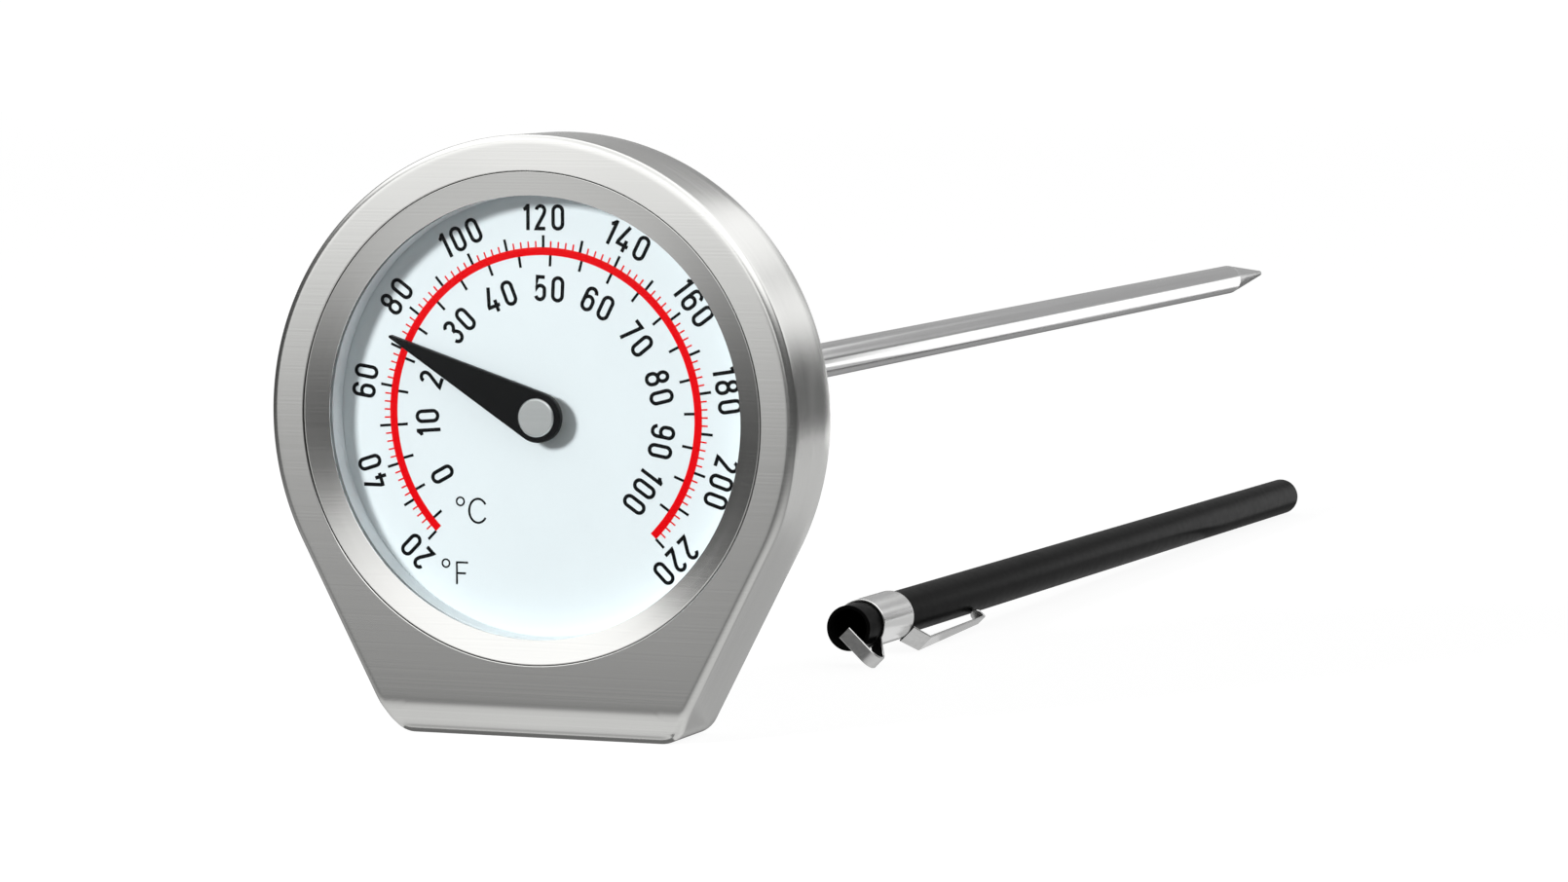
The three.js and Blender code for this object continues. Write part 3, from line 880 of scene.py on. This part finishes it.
brushed_case = metal("brushed_case", (0.66, 0.66, 0.645), 0.23, (4, 4, 5600), (25, 5000, 25),
                     contrast=0.06, bump=0.035, anisotropic=0.3)
brushed_bezel = metal("brushed_bezel", (0.67, 0.67, 0.655), 0.2, (4, 4, 5200), contrast=0.045,
                      bump=0.04, anisotropic=0.2)
polished = metal("polished_steel", (0.72, 0.72, 0.72), 0.16, (2600, 25, 2600), contrast=0.05, bump=0.05)
inner_metal = metal("inner_metal", (0.62, 0.63, 0.64), 0.42, (1500, 60, 1500))
spring_steel = metal("spring_steel", (0.55, 0.55, 0.56), 0.3, (900, 900, 900))
clip_steel = metal("clip_steel", (0.56, 0.56, 0.555), 0.24, (2500, 60, 2500), contrast=0.07)
band_steel = metal("band_steel", (0.82, 0.82, 0.815), 0.2, (900, 12, 900), contrast=0.05, bump=0.05)
hub_metal = metal("hub_metal", (0.66, 0.66, 0.65), 0.34, (60, 60, 2600), contrast=0.03, bump=0.02)
brass = metal("brass_fittings", (0.72, 0.55, 0.27), 0.32, (1200, 80, 1200))
bimetal = metal("bimetal", (0.55, 0.43, 0.28), 0.38, (700, 700, 700))
dial_white = coated("dial_white", (0.87, 0.915, 0.93), 0.42, contrast=0.012, bump=0.02, specular=0.2)
ink_black = coated("print_black", (0.003, 0.0034, 0.0038), 0.45, contrast=0.2, bump=0.02, specular=0.06)
ink_red = coated("print_red", (0.86, 0.0, 0.003), 0.45, contrast=0.03, bump=0.02, specular=0.05)
pointer_black = coated("pointer_black", (0.005, 0.005, 0.0053), 0.42, contrast=0.12, specular=0.08)
sheath_black = coated("sheath_black", (0.006, 0.006, 0.006), 0.32, contrast=0.15, specular=0.012)
gasket = coated("gasket", (0.85, 0.87, 0.88), 0.6)
lens_clear = clear_lens("clear_lens")

# The CAD nodes that keep their meshes are the hidden ones inside the case and the stem.
for node, finish in {
    "inner_can": inner_metal, "lens_gasket": gasket, "dial_support_ring": inner_metal,
    "lock_ring": spring_steel, "upper_guide_bush": brass, "lower_guide_bush": brass,
    "bimetal_coil": bimetal, "coil_anchor": brass, "pointer_collet": brass, "pointer_arbor": polished,
}.items():
    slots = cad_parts[node].data.materials
    slots.clear()
    slots.append(finish)


# ---------------------------------------------------------------- pieces of the head

belongs(add_piece("case_shell_fine", *case_shell()), "head", "brushed_case", brushed_case, "case_shell")
belongs(add_piece("back_cover_fine", *back_cover()), "head", "brushed_case", brushed_case, "back_cover")

bezel_outer = WINDOW_RADIUS - BEZEL_GAP
bezel_section = softened([
    (bezel_outer, FACE_Y + 0.06, 0.08), (bezel_outer, bezel_hi.y, 0.05), (BEZEL_INNER, bezel_hi.y, 0.04),
    (BEZEL_INNER, FACE_Y + BEZEL_DROP, 0.07),
], steps=5, closed=True)
belongs(add_piece("bezel_ring_fine", *lathe(bezel_section, BEZEL_STEPS), at_dial(), 50), "head",
        "brushed_bezel", brushed_bezel, "bezel_ring")

lens_section = [(0, lens_lo.y), (LENS_RADIUS, lens_lo.y), (LENS_RADIUS, lens_hi.y), (0, lens_hi.y)]
belongs(add_piece("lens_fine", *lathe(lens_section), at_dial()), "head", "clear_lens", lens_clear, "lens")

lip_outer = BEZEL_INNER + SPACER_LIP
shoulder_y = spacer_lo.y + SPACER_LIP_DEPTH
spacer_section = softened([
    (BEZEL_INNER, spacer_lo.y, 0.05), (lip_outer, spacer_lo.y, 0), (lip_outer, shoulder_y, 0),
    (LENS_RADIUS, shoulder_y, 0), (LENS_RADIUS, spacer_hi.y, 0), (BEZEL_INNER, spacer_hi.y, 0.05),
], closed=True)
belongs(add_piece("dial_spacer_fine", *lathe(spacer_section), at_dial()), "head", "dial_white",
        dial_white, "dial_spacer")

plate = rounded_ring(PLATE_HOLE, LENS_RADIUS, DIAL_Y, plate_hi.y, 0.03)
belongs(add_piece("dial_plate_fine", *plate, at_dial()), "head", "dial_white", dial_white, "dial_plate")
belongs(ink_piece("dial_print_black", black_print()), "head", "print_black", ink_black)
belongs(ink_piece("dial_print_red", red_print()), "head", "print_red", ink_red)

flange_rear = bushing_lo.y + BUSHING_FLANGE_THICK
bushing_section = softened([
    (BUSHING_BORE, bushing_lo.y, 0.1), (BUSHING_FLANGE, bushing_lo.y, 0.15),
    (BUSHING_FLANGE, flange_rear, 0.1), (BUSHING_NECK, flange_rear, 0),
    (BUSHING_NECK, bushing_hi.y, 0.15), (BUSHING_BORE, bushing_hi.y, 0.1),
], closed=True)
belongs(add_piece("stem_bushing_fine", *lathe(bushing_section, STEM_STEPS), at_dial()), "head",
        "brass_fittings", brass, "stem_bushing")
washer = rounded_ring(BUSHING_NECK + 0.1, WASHER_RADIUS, washer_lo.y, washer_hi.y, 0.1, STEM_STEPS)
belongs(add_piece("friction_washer_fine", *washer, at_dial()), "head", "spring_steel", spring_steel,
        "friction_washer")

# ---------------------------------------------------------------- pieces of the stem and pointer

belongs(add_piece("calibration_nut_fine", *hex_nut(), at_dial()), "stem", "brushed_case", brushed_case,
        "calibration_nut")
tube_section = softened([
    (STEM_BORE, tube_lo.y, 0.05), (STEM_RADIUS, tube_lo.y, 0.1), (STEM_RADIUS, tube_hi.y, 0.03),
    (STEM_BORE, tube_hi.y, 0.02),
], closed=True)
belongs(add_piece("stem_tube_fine", *lathe(tube_section, STEM_STEPS), at_dial()), "stem", "polished_steel",
        polished, "stem_tube")
plug = STEM_BORE - TIP_PLUG_GAP
collar_y = tube_hi.y + TIP_PLUG_GAP
cone_start = tip_hi.y - CONE_LENGTH
tip_section = softened([
    (0, tip_lo.y, 0), (plug, tip_lo.y, 0.2), (plug, collar_y, 0), (STEM_RADIUS, collar_y, 0.03),
    (STEM_RADIUS - 0.01, cone_start + 0.25, 0.4), (TIP_RADIUS, tip_hi.y, 0.15), (0, tip_hi.y, 0),
], steps=5)
belongs(add_piece("stem_tip_fine", *lathe(tip_section, STEM_STEPS), at_dial()), "stem", "polished_steel",
        polished, "stem_tip")

blade_turn = at_dial() @ Matrix.Rotation(POINTER_ANGLE, 4, "Y")
belongs(add_piece("pointer_fine", *pointer_blade(), blade_turn, 20), "pointer", "pointer_black",
        pointer_black, "pointer")
# The cap's front edge is rounded in these steps inwards and back.
cap_edge = [(0.16, 0), (0.12, 0.01), (0.03, 0.09), (0, 0.13)]
cap_section = [(0, cap_lo.y)] + [(CAP_RADIUS - inset, cap_lo.y + depth) for inset, depth in cap_edge]
cap_section += [(CAP_RADIUS, cap_hi.y), (0, cap_hi.y)]
belongs(add_piece("pointer_hub_cap_fine", *lathe(cap_section, CAP_STEPS), at_dial(), 25), "pointer",
        "hub_metal", hub_metal, "pointer_hub_cap")

# ---------------------------------------------------------------- sheath

in_sheath, sheath_length = sheath_place()
floor_y = sheath_length - SHEATH_FLOOR
sheath_section = softened([
    (SHEATH_BORE, 0, 0.1), (SHEATH_OUTER, 0, 0.12), (SHEATH_OUTER_END, sheath_length, 0.35),
    (0, sheath_length, 0), (0, floor_y, 0), (SHEATH_BORE - 0.1, floor_y, 0.3),
], steps=6, closed=True)
belongs(add_piece("sheath_tube_fine", *lathe(sheath_section, SHEATH_STEPS), in_sheath), "sheath",
        "sheath_black", sheath_black, "sheath_tube")
band = rounded_ring(BAND_INNER, BAND_INNER + BAND_THICK, BAND_FRONT, BAND_REAR, 0.08, SHEATH_STEPS)
belongs(add_piece("sheath_band_fine", *band, in_sheath), "sheath", "clip_steel", band_steel, "sheath_band")
hook = hook_path()
belongs(add_piece("retaining_spring_fine", *ribbon(hook, [HOOK_WIDTH] * len(hook)), in_sheath),
        "retaining_spring", "clip_steel", clip_steel, "retaining_spring")
clip = clip_path()
belongs(add_piece("pocket_clip_fine", *ribbon(clip, clip_widths(clip)), in_sheath),
        "pocket_clip", "clip_steel", clip_steel, "pocket_clip")


# ---------------------------------------------------------------- studio

FLOOR_SHADE = 0.2
FLOOR_GLOW = 0.92
FLOOR_DROP = 0.02
FLOOR_RADIUS = 2500
FLOOR_RINGS = 24
FLOOR_STEPS = 96
BACKDROP_GLOW = 1.05
BACKDROP_RADIUS = 3000
BACKDROP_RINGS = 32
# Brightness of the surround by the height of the direction looked in, from straight down to straight up
SKY_LEVELS = [
    (-1.0, 0.8), (-0.9, 0.88), (-0.5, 0.68), (-0.35, 0.38), (-0.2, 0.18), (-0.05, 0.08), (0.1, 0.08),
    (0.25, 0.12), (0.38, 0.22), (0.5, 1.2), (0.6, 1.75), (0.8, 1.7), (1.0, 1.2),
]
# Brightness of the surround as matt surfaces are lit by it
SKY_MATT = 0.315
# Cards that metal mirrors: a corner, two sides, then the glow at the low and the high end and the two
# heights between which it changes. The last six lie on the table beside, behind and under the case.
CARDS = [
    ("front_card", (-125, -117, -15), (120, 0, 0), (0, 0, 145), 0.42, 1.5, 5, 78),
    ("front_right_card", (-5, -117, 46), (70, 0, 0), (0, 0, 84), 1.0, 1.5, 46, 96),
    ("rear_card", (-300, 540, 20), (465, 0, 0), (0, 0, 190), 0.42, 0.42),
    ("side_card", (10, 540, 210), (390, 0, 0), (0, 0, 150), 1.3, 1.4),
    ("side_low_card", (150, 540, 60), (250, 0, 0), (0, 0, 150), 0.1, 1.4, 70, 165),
    ("stem_card", (20, 400, 0), (100, 0, 0), (0, 0, 46), 1.6, 1.6),
    ("flank_table_card", (16, 6, 0.01), (34, 0, 0), (0, 60, 0), 0.5, 0.5),
    ("rear_table_card", (37, 66, 0.01), (113, 0, 0), (0, 130, 0), 0.7, 0.7),
    ("band_table_card", (12, 64, 0.01), (25, 0, 0), (0, 18, 0), 0.8, 0.8),
    ("sheath_table_card", (12, 82, 0.01), (25, 0, 0), (0, 114, 0), 0.6, 0.6),
    ("stem_table_card", (16, 206, 0.01), (96, 0, 0), (0, 194, 0), 1.4, 1.4),
    # A dim card of painted shade under the foot, which only reflections see.
    ("foot_shade", (-15, -4.5, 0.01), (30, 0, 0), (0, 10, 0), 0.2, 0.2),
]
CAMERA_PLACE = (0.210552, -0.495043, 0.076748)
CAMERA_TURN = math.radians(20.52)
CAMERA_TILT = math.radians(84.99)
CAMERA_ROLL = math.radians(-0.16)
CAMERA_LENS = 122.98


def floor_material():
    """Pale matt floor with a glow that keeps it nearly white, so that shadows on it stay faint. Only the
    camera sees the glow."""
    material, tree = new_material("floor")
    matt = add_node(tree, "ShaderNodeBsdfDiffuse", {"Color": (FLOOR_SHADE,) * 3 + (1,)})
    lift = add_node(tree, "ShaderNodeEmission", {"Color": (1, 1, 1, 1), "Strength": FLOOR_GLOW})
    pale = add_node(tree, "ShaderNodeAddShader", {0: matt.outputs["BSDF"], 1: lift.outputs["Emission"]})
    ray = add_node(tree, "ShaderNodeLightPath")
    seen = add_node(tree, "ShaderNodeMixShader", {
        0: ray.outputs["Is Camera Ray"], 1: matt.outputs["BSDF"], 2: pale.outputs["Shader"],
    })
    finish_material(tree, seen.outputs["Shader"])
    return material


def round_sheet(name, radius):
    """Flat disc just under the surface that the object stands on."""
    turns = [2 * math.pi * i / FLOOR_STEPS for i in range(FLOOR_STEPS)]
    levels = []
    for k in range(FLOOR_RINGS + 1):
        reach = radius * k / FLOOR_RINGS
        levels.append([(reach * math.cos(a), reach * math.sin(a), -FLOOR_DROP) for a in turns])
    return add_piece(name, *skin(levels))


def backdrop(name, radius):
    """Large white shell that only the camera sees."""
    material, tree = new_material(name)
    glow = add_node(tree, "ShaderNodeEmission", {"Color": (1, 1, 1, 1), "Strength": BACKDROP_GLOW})
    finish_material(tree, glow.outputs["Emission"])
    turns = [math.pi * k / BACKDROP_RINGS for k in range(BACKDROP_RINGS + 1)]
    profile = [(radius * math.sin(a), -radius * math.cos(a)) for a in turns]
    shell = add_piece(name, *lathe(profile, 64))
    shell.data.materials.append(material)
    for kind in ("diffuse", "glossy", "transmission", "volume_scatter", "shadow"):
        setattr(shell, "visible_" + kind, False)
    return shell


def sky():
    """What the metal mirrors: a dark band at the horizon, a soft bright ceiling and a pale table. Matt
    surfaces get the same light from all sides."""
    world = bpy.data.worlds.new("studio")
    world.use_nodes = True
    tree = world.node_tree
    tree.nodes.clear()
    place = add_node(tree, "ShaderNodeTexCoord")
    parts = add_node(tree, "ShaderNodeSeparateXYZ", {"Vector": place.outputs["Generated"]})
    height = ranged(tree, parts.outputs["Z"], 0.0, 1.0, -1.0, 1.0)
    ramp = add_node(tree, "ShaderNodeValToRGB", {"Fac": height})
    stops = ramp.color_ramp.elements
    while len(stops) < len(SKY_LEVELS):
        stops.new(0.5)
    for stop, (z, level) in zip(stops, SKY_LEVELS):
        stop.position = (z + 1) / 2
        stop.color = (level, level, level, 1)
    ray = add_node(tree, "ShaderNodeLightPath")
    even = (SKY_MATT,) * 3 + (1,)
    shade = mixed(tree, ray.outputs["Is Diffuse Ray"], ramp.outputs["Color"], even, "RGBA")
    glow = add_node(tree, "ShaderNodeBackground", {"Color": shade, "Strength": 1.0})
    output = add_node(tree, "ShaderNodeOutputWorld")
    tree.links.new(glow.outputs["Background"], output.inputs["Surface"])
    bpy.context.scene.world = world


def lamp(name, azimuth, elevation, distance, size, power):
    """Soft lamp aimed at the dial. Azimuth 0 is in front and positive towards the reader's left.
    Metal mirrors the cards instead of it."""
    light = bpy.data.lights.new(name, "AREA")
    light.shape = "RECTANGLE"
    light.size, light.size_y = size
    light.energy = power
    rig = bpy.data.objects.new(name, light)
    bpy.context.scene.collection.objects.link(rig)
    a, e = math.radians(azimuth), math.radians(elevation)
    away = Vector((-math.sin(a) * math.cos(e), -math.cos(a) * math.cos(e), math.sin(e)))
    rig.location = Vector((0, 0, DIAL_Z * MM)) + away * distance
    rig.rotation_euler = away.to_track_quat("Z", "Y").to_euler()
    rig.visible_glossy = False
    rig.visible_camera = False


def card(name, corner, across, up, low, high, foot=0, top=1):
    """Glowing card that only reflections see. Its glow rises from low to high between two heights."""
    material, tree = new_material(name)
    place = add_node(tree, "ShaderNodeTexCoord")
    parts = add_node(tree, "ShaderNodeSeparateXYZ", {"Vector": place.outputs["Object"]})
    strength = add_node(tree, "ShaderNodeMapRange", {
        "Value": parts.outputs["Z"], "From Min": foot * MM, "From Max": top * MM,
        "To Min": low, "To Max": high,
    }, interpolation_type="SMOOTHSTEP")
    glow = add_node(tree, "ShaderNodeEmission", {"Strength": strength.outputs["Result"]})
    finish_material(tree, glow.outputs["Emission"])
    corner, across, up = Vector(corner), Vector(across), Vector(up)
    sheet = add_piece(name, [corner, corner + across, corner + across + up, corner + up], [(0, 1, 2, 3)])
    sheet.data.materials.append(material)
    for kind in ("camera", "diffuse", "transmission", "volume_scatter", "shadow"):
        setattr(sheet, "visible_" + kind, False)
    return sheet


floor = round_sheet("floor", FLOOR_RADIUS)
floor.data.materials.append(floor_material())
floor.visible_glossy = False
backdrop("backdrop", BACKDROP_RADIUS)
sky()
lamp("key", azimuth=27, elevation=20, distance=0.6, size=(0.1, 0.1), power=3.1)
for name, *settings in CARDS:
    card(name, *settings)

camera_data = bpy.data.cameras.new("camera")
camera_data.lens = CAMERA_LENS
camera_data.sensor_width = 36.0
camera_data.clip_start = 0.01
camera = bpy.data.objects.new("camera", camera_data)
bpy.context.scene.collection.objects.link(camera)
camera.location = CAMERA_PLACE
aim = Matrix.Rotation(CAMERA_TURN, 3, "Z") @ Matrix.Rotation(CAMERA_TILT, 3, "X")
camera.rotation_euler = (aim @ Matrix.Rotation(CAMERA_ROLL, 3, "Z")).to_euler()
bpy.context.scene.camera = camera
bpy.context.scene.view_settings.view_transform = "Standard"
